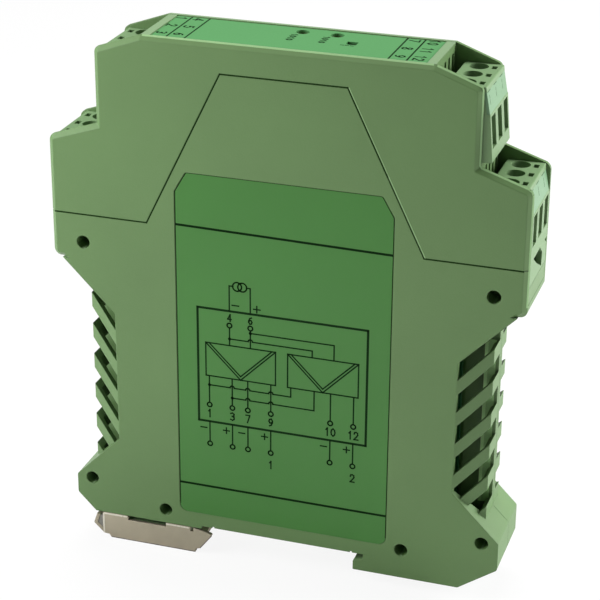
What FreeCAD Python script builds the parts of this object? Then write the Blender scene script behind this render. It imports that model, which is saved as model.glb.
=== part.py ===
import FreeCAD, Part
import math
import os

Vec = FreeCAD.Vector

# Narrow signal isolator for a 35 mm top-hat rail, in millimetres.
# X runs along the housing, Y across its width and Z away from the rail.
# The origin is the middle of the plane where the housing rests on the rail's flanges.

# Housing outline, seen from the side: most lengths hang on the two overall sizes
housing_width = 17.5
housing_height = 107.3
lower_half = 49.5
upper_half = lower_half - 10.5
top_half = upper_half - 9.4
waist_half = lower_half - 13.1
waist_end_half = waist_half + 6.6
foot_half = waist_half + 10.1
left_extra = 0.45
upper_shoulder_z = housing_height - 3.5
lower_step_z = housing_height - 19.2
lower_shoulder_z = housing_height - 22.7
lobe_z = lower_shoulder_z - 26.2
lobe_toe = lower_half - 1.75
waist_top_z = lobe_z - lobe_toe + waist_half
waist_bottom_z = 17.95
foot_edge_z = 1.7
foot_slant = 2 * foot_edge_z
foot_drop = 0.65
corner_radius = 1.5
shoulder_radius = 1.8
front_bevel = 1.0
rear_bevel = 0.3

# Walls, joints between the mouldings and general fits
plate_wall = 1.2
end_wall = 1.2
floor_wall = 1.4
split_y = 0.8
seam_gap = 0.18
seat_gap = 0.05
running_gap = 0.05

# Tongue of the half shells that rises into the hood
parting_z = lower_shoulder_z - 16.2
tongue_base_half = top_half - 0.7
tongue_top_half = tongue_base_half - 16.0
tongue_top_z = housing_height - 6.1

# Rail, fixed hook and the face that rests on the rail
rail_half = 17.5
rail_sheet = 1.0
hook_play = 0.5
hook_bottom_z = -3.95
hook_heel_half = foot_half - 8.1
hook_tip_half = rail_half - 1.7
hook_tip_z = -1.9
seat_pad_half = hook_tip_half - 0.7
seat_groove = 0.45
seat_groove_depth = 0.3

# Louvres in the waist
louvre_count = 6
louvre_pitch = (waist_top_z - waist_bottom_z) / 4.116
louvre_slot = louvre_pitch * 0.54
louvre_slant_depth = 3.2
louvre_web = 1.3
louvre_web_depth = 3.0
louvre_rear_web_depth = 7.0

# Pegs that hold the half shells together
peg_bore = 2.85
peg_boss = 4.2
peg_reach = 4.2
peg_high_half = lower_half - 6.5
peg_low_half = foot_half - 3.5
peg_high_z = lobe_z + 3.9
peg_low_z = 7.4
peg_inner_half = 26.1
peg_inner_z = 2.6

# Side label
label_half = top_half - 6.75
label_top_half = label_half - 2.45
label_top_z = parting_z + 11.8
label_chamfer_z = label_top_z - 4.2
label_bottom_z = 3.1
label_radius = 1.8
label_recess = 0.3
label_thick = 0.25

# Top plate with its label, trimmer holes and lamp window
top_rim_drop = 0.7
top_plate = 1.1
top_label_half = top_half - 1.8
top_label_thick = 0.2
trimmer_xs = {"zero": -0.5, "span": 6.6}
trimmer_hole = 2.8
lamp_x = 10.8
lamp_y = 0.5
lamp_length = 1.9
lamp_width = 1.7
lamp_hole_gap = 0.15

# Comb of ventilation slots in the walls behind the terminals
comb_count = 5
comb_pitch = 2.9
comb_slot = 1.3
comb_near_y = -6.2
comb_top_drop = 1.6
comb_depth = 7.5
pocket_depth = 1.8

# Tabs that slip the hood behind the half shells' plates
tuck_length = 3.2
tuck_start_gap = 0.4
tuck_thick = 0.8
tuck_reach = 3.0

# Terminal blocks: one moulding of three clamps, used at two heights on both ends
terminal_pitch = 5.08
terminal_count = 3
upper_screw_x = upper_half - 4.1
lower_screw_x = lower_half - 5.4
upper_block_top = upper_shoulder_z - 0.1
lower_block_top = lower_shoulder_z + 0.25
block_back = 3.25
block_nose = 4.4
strip_nose = 5.4
upper_block_front = upper_half + 2.1
upper_left_play = 0.9
upper_left_front = upper_half + 0.55
lower_block_front = lower_half
upper_block_bottom = lower_step_z + 0.85
lower_block_bottom = lower_shoulder_z - 20.1
block_side_gap = 0.05
strip_top_drop = 0.9
strip_bottom_drop = 5.3
strip_thick = 0.6
wire_slot_width = 3.2
wire_slot_top_drop = 5.9
wire_slot_height = 6.3
probe_offset = 3.0
probe_length = 1.1
probe_width = 1.85
screw_recess = 1.6
window_low_z = lower_block_bottom + 0.5
window_high_z = lower_block_bottom + 5.1

# Clamp: screw, cage and contact pin
screw_head = 3.7
screw_head_height = 1.5
screw_shank = 2.6
screw_slot = 0.6
screw_slot_depth = 0.8
thread_pitch = 0.5
clamp_turns = 4
cage_width = 4.2
cage_length = 5.6
cage_nut = 1.2
cage_base = 0.7
cage_side = 0.55
cage_mouth = 4.5
cage_gap = 0.1
pin_width = 2.4
pin_thick = 0.8
pin_leg = 1.0
pin_stagger = 1.6
shoulder_wall = 0.9

# Circuit board and what it carries
board_thick = 1.0
board_rib = 0.25
board_rib_half = 20.0
board_low_half = waist_half - 2.4
board_high_half = top_half - 2.4
board_bottom_z = 8.5
board_shoulder_z = lower_shoulder_z - 0.6
board_top_z = housing_height - 3.4
board_middle_z = (board_bottom_z + board_top_z) / 2
core_length = 17.0
core_height = 15.0
core_z = board_middle_z - 4.0
core_depth = 9.5
core_limb = 3.6
winding_wall = 2.4
capacitor_radius = 2.5
capacitor_height = 7.0
capacitor_half = board_low_half - 10.0
capacitor_zs = (board_middle_z - 26.0, board_middle_z + 8.0)
chip_thick = 1.6
chip_length = 10.0
chip_width = 6.5
chip_half = 12.0
chip_zs = (board_bottom_z + 15.5, board_top_z - 25.0)
trimmer_length = 5.0
trimmer_height = 9.5
trimmer_body_top = board_top_z - 0.2
trimmer_screw = 2.2
trimmer_screw_top = trimmer_body_top + 2.0
trimmer_screw_depth = 2.5
trimmer_stand = 1.5

# Foot latch of folded steel strip, its guide and its return spring
latch_sheet = 0.8
latch_inner_end = 0.2 - hook_tip_half
latch_outer_end = 5.5 - foot_half
latch_top_z = -foot_drop - 0.1
latch_bottom_z = -6.7
latch_tip_z = -1.5
latch_travel = 4.0
latch_play = 0.15
latch_notch = 1.0
latch_fold_length = 5.6
pull_tab_half = 7.0
guide_outer_end = latch_outer_end + 1.0
guide_inner_end = -rail_half - 4.0
guide_neck_half = 4.2
guide_head_top_z = latch_top_z - latch_sheet - 0.15
guide_bottom_z = -5.4
latch_fold = 3.2
spring_radius = 1.2
spring_wire = 0.35
spring_turns = 6
spring_runs = 10
spring_pocket_half = 1.6
spring_outer_end = guide_outer_end + 1.4
spring_length = 8.0

half_width = housing_width / 2
inner_half = half_width - plate_wall
block_half = inner_half - block_side_gap
board_back_y = inner_half - board_rib
board_face_y = board_back_y - board_thick
trimmer_y = board_face_y - trimmer_stand
clamp_travel = thread_pitch * clamp_turns
terminal_ys = [(i - (terminal_count - 1) / 2) * terminal_pitch for i in range(terminal_count)]


# Shared ways of making solids

def rounded_wire(corners, place):
    """Closed wire through corners (a, b, radius), each rounded by its own radius."""
    count = len(corners)
    starts = []
    ends = []
    middles = []
    for i, (a, b, radius) in enumerate(corners):
        here = Vec(a, b, 0)
        before = Vec(corners[i - 1][0], corners[i - 1][1], 0)
        after = Vec(corners[(i + 1) % count][0], corners[(i + 1) % count][1], 0)
        back = (before - here).normalize()
        on = (after - here).normalize()
        half_angle = back.getAngle(on) / 2
        if radius == 0:
            starts.append(here)
            ends.append(here)
            middles.append(None)
            continue
        reach = radius / math.tan(half_angle)
        starts.append(here + back * reach)
        ends.append(here + on * reach)
        bisector = (back + on).normalize()
        middles.append(here + bisector * (radius / math.sin(half_angle) - radius))
    edges = []
    for i in range(count):
        if middles[i] is not None:
            edges.append(Part.Arc(place(starts[i]), place(middles[i]), place(ends[i])).toShape())
        following = (i + 1) % count
        if ends[i].distanceToPoint(starts[following]) > 1e-6:
            edges.append(Part.LineSegment(place(ends[i]), place(starts[following])).toShape())
    return Part.Wire(edges)


def side_prism(corners, y_low, y_high):
    """Solid with the given outline in X and Z, from y_low to y_high."""
    wire = rounded_wire(corners, lambda p: Vec(p.x, y_low, p.y))
    return Part.Face(wire).extrude(Vec(0, y_high - y_low, 0))


def plan_prism(corners, z_low, z_high):
    """Solid with the given outline in X and Y, from z_low to z_high."""
    wire = rounded_wire(corners, lambda p: Vec(p.x, p.y, z_low))
    return Part.Face(wire).extrude(Vec(0, 0, z_high - z_low))


def end_prism(corners, x_low, x_high):
    """Solid with the given outline in Y and Z, from x_low to x_high."""
    wire = rounded_wire(corners, lambda p: Vec(x_low, p.x, p.y))
    return Part.Face(wire).extrude(Vec(x_high - x_low, 0, 0))


def block(x_low, x_high, y_low, y_high, z_low, z_high):
    corner = Vec(x_low, y_low, z_low)
    return Part.makeBox(x_high - x_low, y_high - y_low, z_high - z_low, corner)


def upright(radius, x, y, z_low, z_high):
    return Part.makeCylinder(radius, z_high - z_low, Vec(x, y, z_low), Vec(0, 0, 1))


def across(radius, x, z, y_low, y_high):
    return Part.makeCylinder(radius, y_high - y_low, Vec(x, y_low, z), Vec(0, 1, 0))


def fuse_all(solids):
    return solids[0].multiFuse(solids[1:]) if len(solids) > 1 else solids[0]


def mirrored(shape):
    """The same piece for the other end of the housing."""
    return shape.mirror(Vec(0, 0, 0), Vec(1, 0, 0))


def sharp(points):
    return [(a, b, 0) for a, b in points]


# Housing outline and the pieces cut from it

def upper_corners(inset):
    """Right edge of the housing from the roof down to the foot, moved inward by inset."""
    diagonal = inset * math.tan(math.radians(22.5))
    rim = max(corner_radius - inset, 0.2)
    crown = max(shoulder_radius - inset, 0.2)
    return [
        (top_half - inset * 0.17, housing_height - inset, 0.6),
        (upper_half - inset, upper_shoulder_z - inset * 0.72, rim),
        (upper_half - inset, lower_step_z - inset * 0.72, 0.3),
        (lower_half - inset, lower_shoulder_z - inset * 0.72, crown),
        (lower_half - inset, lobe_z + inset, rim),
        (lobe_toe - diagonal, lobe_z + inset, 0),
        (waist_end_half - inset, waist_top_z + waist_end_half - waist_half + diagonal, 0),
        (waist_end_half - inset, waist_bottom_z - waist_end_half + waist_half - diagonal, 0),
        (foot_half - inset, waist_bottom_z - foot_half + waist_half - diagonal, 0.8),
    ]


def left_corners(inset):
    """Left edge from the foot up to the roof; its shoulders stand out a little further."""
    corners = []
    for place, (x, z, radius) in enumerate(upper_corners(inset)):
        corners.append((-x - left_extra if 1 <= place <= 4 else -x, z, radius))
    return corners[::-1]


def housing_corners(inset):
    """Outline of the whole housing with its hook, moved inward by inset."""
    hook_slot_end = rail_half + hook_play
    foot = [
        (foot_half - inset, foot_edge_z + inset * 0.52, 0.8),
        (hook_heel_half - inset * 0.3, hook_bottom_z + inset, 0.4),
        (hook_tip_half + inset, hook_bottom_z + inset, 0.12),
        (hook_tip_half + inset, hook_tip_z - inset, 0.1),
        (hook_slot_end + inset, -rail_sheet - 0.15 - inset, 0),
        (hook_slot_end + inset, inset, 0),
        (-hook_slot_end - inset, inset, 0),
        (-hook_slot_end - inset, inset - foot_drop, 0.1),
        (-foot_half + foot_slant + foot_drop + inset * 0.4, inset - foot_drop, 0.3),
        (-foot_half + inset, foot_slant + inset * 0.4, 1.0),
    ]
    return upper_corners(inset) + foot + left_corners(inset)


def hollow_body(inset, y_low, y_high):
    """Space inside the housing's walls, down to its floor."""
    floor = [
        (foot_half - inset, floor_wall, 0.5),
        (-foot_half + foot_slant + inset, floor_wall, 0),
        (-foot_half + inset, foot_slant + inset * 0.4, 0),
    ]
    return side_prism(upper_corners(inset) + floor + left_corners(inset), y_low, y_high)


def loft_between(corners_a, y_a, corners_b, y_b):
    """Solid that runs from one outline to another across a bevel."""
    first = rounded_wire(corners_a, lambda p: Vec(p.x, y_a, p.y))
    second = rounded_wire(corners_b, lambda p: Vec(p.x, y_b, p.y))
    return Part.makeLoft([first, second], True, True)


def filled_body(y_low, y_high):
    """Filled housing; a bevel runs round its side faces from the lobes upward."""
    far = lower_half + 10
    body = side_prism(housing_corners(0), y_low, y_high)
    for side, bevel in ((-1, front_bevel), (1, rear_bevel)):
        face = side * half_width
        if not y_low <= face <= y_high:
            continue
        slab_low, slab_high = sorted((face, face - side * bevel))
        upper = block(-far, far, slab_low, slab_high, lobe_z, housing_height + 1)
        rim = loft_between(housing_corners(0), face - side * bevel, housing_corners(bevel), face)
        body = body.cut(upper.cut(rim))
    return body


def waist_wedge(growth):
    """Space between the two 45 degree faces above and below the right waist."""
    far = waist_end_half + 2
    rise = growth * math.sqrt(2)
    start = waist_half - 12
    reach = far - waist_half
    top = waist_top_z + rise
    low = waist_bottom_z - rise
    return sharp([(start, top - 12), (far, top + reach), (far, low - reach), (start, low + 12)])


def waist_core(inset):
    """What is left of the right waist between its slanted corners."""
    slant = math.atan2(louvre_slant_depth, waist_end_half - waist_half)
    start = waist_half - 15
    shift = inset / math.cos(slant)
    corner_y = half_width - louvre_slant_depth - shift
    corner_y += inset * math.tan(slant)
    end = waist_end_half - inset
    near = half_width + 15 * math.tan(slant) - shift
    return sharp([(start, -near), (end, -corner_y), (end, corner_y), (start, near)])


def waist_cut(inset):
    """Both corners taken off the right waist."""
    wedge = side_prism(waist_wedge(inset), -half_width - 1, half_width + 1)
    core = plan_prism(waist_core(inset), -20, housing_height)
    return wedge.cut(core)


def louvre_slots(y_low, y_high):
    """Slots that rise outward at 45 degrees through the right waist's corner."""
    start = waist_half + 0.1
    end = waist_end_half + 2
    slots = []
    for i in range(louvre_count):
        top = waist_top_z - i * louvre_pitch
        upper = top + end - waist_half
        corners = [(start, top + start - waist_half), (end, upper)]
        corners += [(end, upper - louvre_slot), (start, top + start - waist_half - louvre_slot)]
        slots.append(side_prism(sharp(corners), y_low, y_high))
    wedge = side_prism(waist_wedge(0), y_low, y_high)
    return fuse_all(slots).common(wedge)


def shell_region(gap, y_low, y_high):
    """Side view of what belongs to the half shells: below the parting line, and the tongue."""
    far = lower_half + 10
    corners = [(-far, -20), (far, -20), (far, parting_z - gap), (tongue_base_half - gap, parting_z - gap)]
    corners += [(tongue_top_half - gap, tongue_top_z - gap), (-tongue_top_half + gap, tongue_top_z - gap)]
    corners += [(-tongue_base_half + gap, parting_z - gap), (-far, parting_z - gap)]
    return side_prism(sharp(corners), y_low, y_high)


def peg_places():
    places = []
    for side in (-1, 1):
        places.append((side * peg_high_half, peg_high_z))
        places.append((side * peg_low_half, peg_low_z))
        places.append((side * peg_inner_half, peg_inner_z))
    return places


def latch_guide(y_low, y_high):
    """T-shaped rail under the left foot that the folded latch slides on, with the spring's pocket."""
    neck = block(guide_outer_end, guide_inner_end, -guide_neck_half, guide_neck_half, guide_bottom_z, 0)
    head_half = half_width - latch_sheet - latch_play
    head = block(guide_outer_end, guide_inner_end, -head_half, head_half, guide_bottom_z, guide_head_top_z)
    pocket_end = guide_inner_end - 1.5
    pocket_half = spring_pocket_half
    pocket = block(spring_outer_end, pocket_end, -pocket_half, pocket_half, guide_bottom_z, guide_head_top_z)
    whole = neck.fuse(head).cut(pocket)
    return whole.common(block(-lower_half, 0, y_low, y_high, guide_bottom_z - 1, 1))


def chamber_wall_x():
    """Face of the wall behind the lower terminals; a narrow pocket lies between it and the block."""
    return lower_screw_x - block_back - pocket_depth


def half_shell(side):
    """One lower half shell: side is -1 for the front one and 1 for the rear one."""
    outer_y = side * half_width
    plate_y = side * inner_half
    y_low, y_high = sorted((outer_y, split_y))
    hollow_low, hollow_high = sorted((plate_y, split_y))
    outer_cut = waist_cut(0)
    inner_cut = waist_cut(end_wall)
    hollow = hollow_body(end_wall, hollow_low, hollow_high).cut(inner_cut).cut(mirrored(inner_cut))
    solid = filled_body(y_low, y_high).cut(outer_cut).cut(mirrored(outer_cut)).cut(hollow)
    solid = solid.common(shell_region(seam_gap / 2, y_low, y_high))

    # The mouth is open above the parting line and steps down where the terminals' skirts drop in
    mouth = block(-lower_half - 1, lower_half + 1, hollow_low, hollow_high, parting_z - 1, housing_height)
    step_x = chamber_wall_x()
    step_start = step_x - end_wall
    skirt = block(step_start, lower_half + 1, hollow_low, hollow_high, lower_block_bottom, parting_z)
    solid = solid.cut(mouth).cut(skirt).cut(mirrored(skirt))

    # Ledge that the lower terminals stand on, then the webs along the parting plane of the louvres
    ledge_low = lower_block_bottom - floor_wall
    ledge = block(step_start, lower_half - end_wall / 2, hollow_low, hollow_high, ledge_low, lower_block_bottom)
    wall = block(step_start, step_x, hollow_low, hollow_high, ledge_low, parting_z - seam_gap / 2)
    web_low, web_high = sorted((split_y + side * louvre_web, split_y))
    web_depth = louvre_web_depth if side < 0 else louvre_rear_web_depth
    web = block(waist_end_half - web_depth, waist_end_half - end_wall / 2, web_low, web_high,
                waist_bottom_z - waist_end_half + waist_half, waist_top_z + waist_end_half - waist_half)
    inner = [ledge, wall, web]
    solid = fuse_all([solid] + inner + [mirrored(piece) for piece in inner])

    slot_low, slot_high = sorted((outer_y + side, split_y + side * louvre_web))
    slots = louvre_slots(slot_low, slot_high)
    solid = solid.cut(slots).cut(mirrored(slots))

    # Bosses for the pegs, kept inside the housing's own outline
    bosses = []
    for x, z in peg_places():
        bosses.append(across(peg_boss / 2, x, z, hollow_low, hollow_high))
    bosses = fuse_all(bosses).common(side_prism(housing_corners(0), y_low, y_high))
    solid = fuse_all([solid, bosses, latch_guide(y_low, y_high)])
    return solid


def split_seat_face(shell):
    """Two shallow grooves that set off the face lying on the rail."""
    for x in (-seat_pad_half - seat_groove, seat_pad_half):
        groove = block(x, x + seat_groove, -half_width - 1, half_width + 1, -0.2, seat_groove_depth)
        shell = shell.cut(groove)
    return shell


def label_outline():
    return [
        (-label_half, label_bottom_z, label_radius),
        (label_half, label_bottom_z, label_radius),
        (label_half, label_chamfer_z, 0.8),
        (label_top_half, label_top_z, 0.8),
        (-label_top_half, label_top_z, 0.8),
        (-label_half, label_chamfer_z, 0.8),
    ]


def front_shell():
    shell = half_shell(-1)
    for x, z in peg_places():
        shell = shell.cut(across(peg_bore / 2, x, z, -half_width - 1, split_y + 1))
    recess = side_prism(label_outline(), -half_width - 1, -half_width + label_recess)
    return split_seat_face(shell.cut(recess))


def rear_shell():
    shell = half_shell(1)
    pegs = []
    for x, z in peg_places():
        pegs.append(across(peg_bore / 2 - running_gap, x, z, -half_width + peg_reach, inner_half))
    ribs = []
    for x in (-board_rib_half, board_rib_half):
        ribs.append(block(x - 0.6, x + 0.6, board_back_y, inner_half + 0.2, board_bottom_z, tongue_top_z - 24))
    return split_seat_face(fuse_all([shell] + pegs + ribs))


def wiring_label():
    gap = 0.1
    outline = [(a - gap * (1 if a > 0 else -1), b, r) for a, b, r in label_outline()]
    low = -half_width + label_recess - label_thick
    return side_prism(outline, low, -half_width + label_recess)


# Hood with its terminal chambers

def comb_slots(x_low, x_high, top_z):
    slots = []
    for i in range(comb_count):
        y = comb_near_y + i * comb_pitch
        bottom = top_z - comb_depth
        slots.append(block(x_low, x_high, y - comb_slot / 2, y + comb_slot / 2, bottom, top_z))
    return fuse_all(slots)


def hood_plate(side):
    """One side plate of the hood, with the cut-out for the tongue."""
    y_low, y_high = sorted((side * half_width, side * inner_half))
    plate = filled_body(y_low, y_high)
    region = shell_region(-seam_gap / 2, y_low - 1, y_high + 1)
    return plate.cut(region)


def pin_slots(x_low, x_high, block_top):
    """Slots that let the three contact pins of a terminal through a wall."""
    top, bottom = pin_levels(block_top)
    slots = []
    for y in terminal_ys:
        half = pin_width / 2 + 0.1
        slots.append(block(x_low, x_high, y - half, y + half, bottom - 0.1, top + 0.1))
    return fuse_all(slots)


def top_hood():
    top = housing_height - top_rim_drop
    centre_wall = top_half - end_wall
    upper_floor_low = upper_block_bottom - end_wall
    step_x = chamber_wall_x()
    roof = block(-top_half, top_half, -inner_half, inner_half, top - top_plate, top)
    right = [
        block(centre_wall, top_half, -inner_half, inner_half, upper_floor_low, housing_height - 0.05),
        block(centre_wall, step_x, -inner_half, inner_half, upper_floor_low, upper_block_bottom),
        block(step_x - end_wall, step_x, -inner_half, inner_half, parting_z, upper_block_bottom),
    ]
    cuts = [
        comb_slots(centre_wall - 1, top_half + 1, housing_height - comb_top_drop),
        comb_slots(step_x - end_wall - 1, step_x + 1, upper_floor_low - 0.6),
        pin_slots(centre_wall - 1, top_half + 1, upper_block_top),
        pin_slots(step_x - end_wall - 1, step_x + 1, lower_block_top),
    ]
    rim_low = top - top_plate
    rims = block(top_label_half, top_half, -inner_half, inner_half, rim_low, housing_height - 0.05)
    right_part = fuse_all(right).cut(fuse_all(cuts))
    tucks = [hood_tuck(-1), hood_tuck(1)]
    tucks += [mirrored(tuck) for tuck in tucks]
    plates = [hood_plate(-1), hood_plate(1)]
    body = fuse_all(plates + tucks + [roof, right_part, mirrored(right_part), rims, mirrored(rims)])
    for x in trimmer_xs.values():
        body = body.cut(upright(trimmer_hole / 2, x, trimmer_y, rim_low - 1, housing_height + 1))
    return body.cut(lamp_window())


def hood_tuck(side):
    """Thin tab inside the hood that slips behind the half shell's plate under the parting line."""
    y_low, y_high = sorted((side * inner_half, side * (inner_half - tuck_thick)))
    start = board_low_half + tuck_start_gap
    return block(start, start + tuck_length, y_low, y_high, parting_z - tuck_reach, parting_z + tuck_reach)


def lamp_window():
    x_half = lamp_length / 2 + lamp_hole_gap
    y_half = lamp_width / 2 + lamp_hole_gap
    low = housing_height - top_rim_drop - top_plate - 1
    return block(lamp_x - x_half, lamp_x + x_half, lamp_y - y_half, lamp_y + y_half, low, housing_height + 1)


def top_label():
    base = housing_height - top_rim_drop
    half = top_label_half - 0.1
    side = inner_half - 0.05
    label = block(-half, half, -side, side, base, base + top_label_thick)
    for x in trimmer_xs.values():
        label = label.cut(upright(trimmer_hole / 2, x, trimmer_y, base - 1, housing_height + 1))
    return label.cut(lamp_window())


# Terminals

def pin_levels(block_top):
    """Top and bottom of a contact pin, just under the nut of its open clamp."""
    nut_bottom = cage_top(block_top) - cage_nut
    top = nut_bottom - cage_gap
    return top, top - pin_thick


def shoulder_z(block_top):
    """Seat of the screw's head."""
    return block_top - screw_recess - screw_head_height - seat_gap


def cage_top(block_top):
    """Top of a clamp cage that is fully open."""
    return shoulder_z(block_top) - shoulder_wall - cage_gap - clamp_travel


def window_cut(front_x):
    """Latching windows in the skirt under the lower wire slots."""
    high, low = window_high_z, window_low_z
    centre = [(-4.8, high), (1.3, high + 0.1), (3.7, high - 1.8), (3.4, low), (-1.4, high - 2.2)]
    edge = [(5.7, high), (block_half + 1, high + 0.1), (block_half + 1, high - 1.7)]
    cuts = [end_prism(sharp(points), front_x - 3, front_x + 1) for points in (centre, edge)]
    return fuse_all(cuts)


def terminal_body(screw_x, top, front_x, bottom):
    """Moulded block of three clamps, seen on the right end of the housing."""
    back = screw_x - block_back
    strip_top = top - strip_top_drop
    strip_bottom = top - strip_bottom_drop
    outline = [
        (back, top, 0.2),
        (screw_x + block_nose, top, 0.3),
        (screw_x + block_nose + 0.1, strip_top, 0),
        (screw_x + strip_nose - 0.1, strip_bottom, 0),
        (screw_x + strip_nose, strip_bottom - 0.15, 0),
        (front_x, bottom, 0.2),
        (back, bottom, 0.2),
    ]
    body = side_prism(outline, -block_half, block_half)
    cuts = [marker_prism(screw_x, top, block_half + 1, strip_thick, 1.0)]
    chamber_top = shoulder_z(top) - shoulder_wall
    chamber_bottom = cage_top(top) - cage_nut - cage_mouth - cage_base - cage_gap
    slot_top = top - wire_slot_top_drop
    pin_top, pin_bottom = pin_levels(top)
    for y in terminal_ys:
        half = cage_width / 2 + cage_gap
        cuts.append(block(back - 1, screw_x + cage_length / 2 + cage_gap, y - half, y + half,
                          chamber_bottom, chamber_top))
        cuts.append(block(screw_x, front_x + 2, y - wire_slot_width / 2, y + wire_slot_width / 2,
                          slot_top - wire_slot_height, slot_top))
        cuts.append(upright(screw_head / 2 + running_gap, screw_x, y, shoulder_z(top), top + 1))
        cuts.append(upright(screw_shank / 2 + running_gap, screw_x, y, chamber_top - 1, top))
        cuts.append(block(screw_x + probe_offset - probe_length / 2, screw_x + probe_offset + probe_length / 2,
                          y - probe_width / 2, y + probe_width / 2, chamber_top - 1.5, top + 1))
    if bottom < parting_z:
        hollow_top = chamber_bottom - end_wall
        cuts.append(block(back + end_wall, front_x - end_wall, -block_half + end_wall, block_half - end_wall,
                          bottom - 1, hollow_top))
        cuts.append(window_cut(front_x))
    return body.cut(fuse_all(cuts))


def marker_prism(screw_x, top, half, thick, outward=0.0):
    """Strip that lies in the sloping recess over the wire slots; outward makes it the cutter for the recess."""
    high = top - strip_top_drop - 0.1
    low = top - strip_bottom_drop
    upper_x = screw_x + block_nose + 0.1
    lower_x = screw_x + strip_nose - 0.1
    inner = [(upper_x - thick, high), (lower_x - thick, low)]
    outer = [(lower_x + outward, low), (upper_x + outward, high)]
    return side_prism(sharp(inner + outer), -half, half)


def terminal_screw(screw_x, top, y):
    """Slotted screw whose head turns on the block's shoulder and whose tip stands on the pin."""
    head_low = shoulder_z(top) + seat_gap
    head_high = head_low + screw_head_height
    tip = pin_levels(top)[0] + seat_gap
    shank = upright(screw_shank / 2, screw_x, y, tip, head_low + 0.2)
    head = upright(screw_head / 2, screw_x, y, head_low, head_high)
    slot = block(screw_x - screw_head, screw_x + screw_head, y - screw_slot / 2, y + screw_slot / 2,
                 head_high - screw_slot_depth, head_high + 1)
    return head.fuse(shank).cut(slot)


def clamp_cage(screw_x, top, y):
    """Brass cage with its threaded top; it rises as the screw turns and lifts the wire to the pin."""
    high = cage_top(top)
    low = high - cage_nut - cage_mouth - cage_base
    half = cage_width / 2
    length = cage_length / 2
    cage = block(screw_x - length, screw_x + length, y - half, y + half, low, high)
    mouth = block(screw_x - length - 1, screw_x + length + 1, y - half + cage_side, y + half - cage_side,
                  low + cage_base, high - cage_nut)
    thread = upright(screw_shank / 2 + running_gap, screw_x, y, low + cage_base + 1, high + 1)
    return cage.cut(mouth).cut(thread)


def contact_pins(screw_x, top, inner_x):
    """Three flat pins from the clamps to the board's face."""
    pin_top, pin_bottom = pin_levels(top)
    pins = []
    for place, y in enumerate(terminal_ys):
        half = pin_width / 2
        start = inner_x + place * pin_stagger
        blade = block(start, screw_x + cage_length / 2 - 0.2, y - half, y + half, pin_bottom, pin_top)
        leg = block(start, start + pin_leg, y - half, board_face_y, pin_bottom, pin_top)
        pins.append(blade.fuse(leg) if y + half < board_face_y else blade)
    return pins


# Circuit board

def main_board():
    outline = sharp([
        (-board_low_half, board_bottom_z), (board_low_half, board_bottom_z),
        (board_low_half, board_shoulder_z), (board_high_half, board_shoulder_z),
        (board_high_half, board_top_z), (-board_high_half, board_top_z),
        (-board_high_half, board_shoulder_z), (-board_low_half, board_shoulder_z),
    ])
    return side_prism(outline, board_face_y, board_back_y)


def transformer_core():
    half = core_length / 2
    depth_low = board_face_y - core_depth
    frame = block(-half, half, depth_low, board_face_y, core_z - core_height / 2, core_z + core_height / 2)
    inner = half - core_limb / 2
    for x_low, x_high in ((-inner, -core_limb / 2), (core_limb / 2, inner)):
        opening = block(x_low, x_high, depth_low - 1, board_face_y + 1,
                        core_z - core_height / 2 + core_limb / 2, core_z + core_height / 2 - core_limb / 2)
        frame = frame.cut(opening)
    return frame


def transformer_winding():
    half = core_limb / 2
    depth_low = board_face_y - core_depth
    low = core_z - core_height / 2 + core_limb / 2 + 0.1
    high = core_z + core_height / 2 - core_limb / 2 - 0.1
    outer = block(-half - winding_wall, half + winding_wall, depth_low - 1.5, board_face_y, low, high)
    return outer.cut(block(-half, half, depth_low, board_face_y + 1, low - 1, high + 1))


def capacitors():
    places = [(x, z) for x in (-capacitor_half, capacitor_half) for z in capacitor_zs]
    return [across(capacitor_radius, x, z, board_face_y - capacitor_height, board_face_y) for x, z in places]


def chips():
    solids = []
    for x in (-chip_half, chip_half):
        for z in chip_zs:
            solids.append(block(x - chip_length / 2, x + chip_length / 2, board_face_y - chip_thick, board_face_y,
                                z - chip_width / 2, z + chip_width / 2))
    return solids


def trimmer_bodies():
    solids = []
    for x in trimmer_xs.values():
        depth = 2 * trimmer_stand
        case = block(x - trimmer_length / 2, x + trimmer_length / 2, board_face_y - depth, board_face_y,
                     trimmer_body_top - trimmer_height, trimmer_body_top)
        bore = upright(trimmer_screw / 2 + running_gap, x, trimmer_y,
                       trimmer_body_top - trimmer_screw_depth, trimmer_body_top + 1)
        solids.append(case.cut(bore))
    return solids


def trimmer_screw_solid(x):
    low = trimmer_body_top - trimmer_screw_depth + seat_gap
    shaft = upright(trimmer_screw / 2, x, trimmer_y, low, trimmer_screw_top)
    slot = block(x - trimmer_screw, x + trimmer_screw, trimmer_y - 0.25, trimmer_y + 0.25,
                 trimmer_screw_top - 0.6, trimmer_screw_top + 1)
    return shaft.cut(slot)


def power_led():
    top = housing_height - top_rim_drop
    low = top - top_plate - 1.5
    lens = block(lamp_x - lamp_length / 2, lamp_x + lamp_length / 2,
                 lamp_y - lamp_width / 2, lamp_y + lamp_width / 2, low, top)
    legs = block(lamp_x - 0.6, lamp_x + 0.6, lamp_y + lamp_width / 2 - 0.2, board_face_y, low - 0.5, low + 0.1)
    foot = block(lamp_x - 0.6, lamp_x + 0.6, board_face_y - 0.5, board_face_y, low - 1.2, low + 0.1)
    return fuse_all([lens, legs, foot])


# Foot latch

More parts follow.
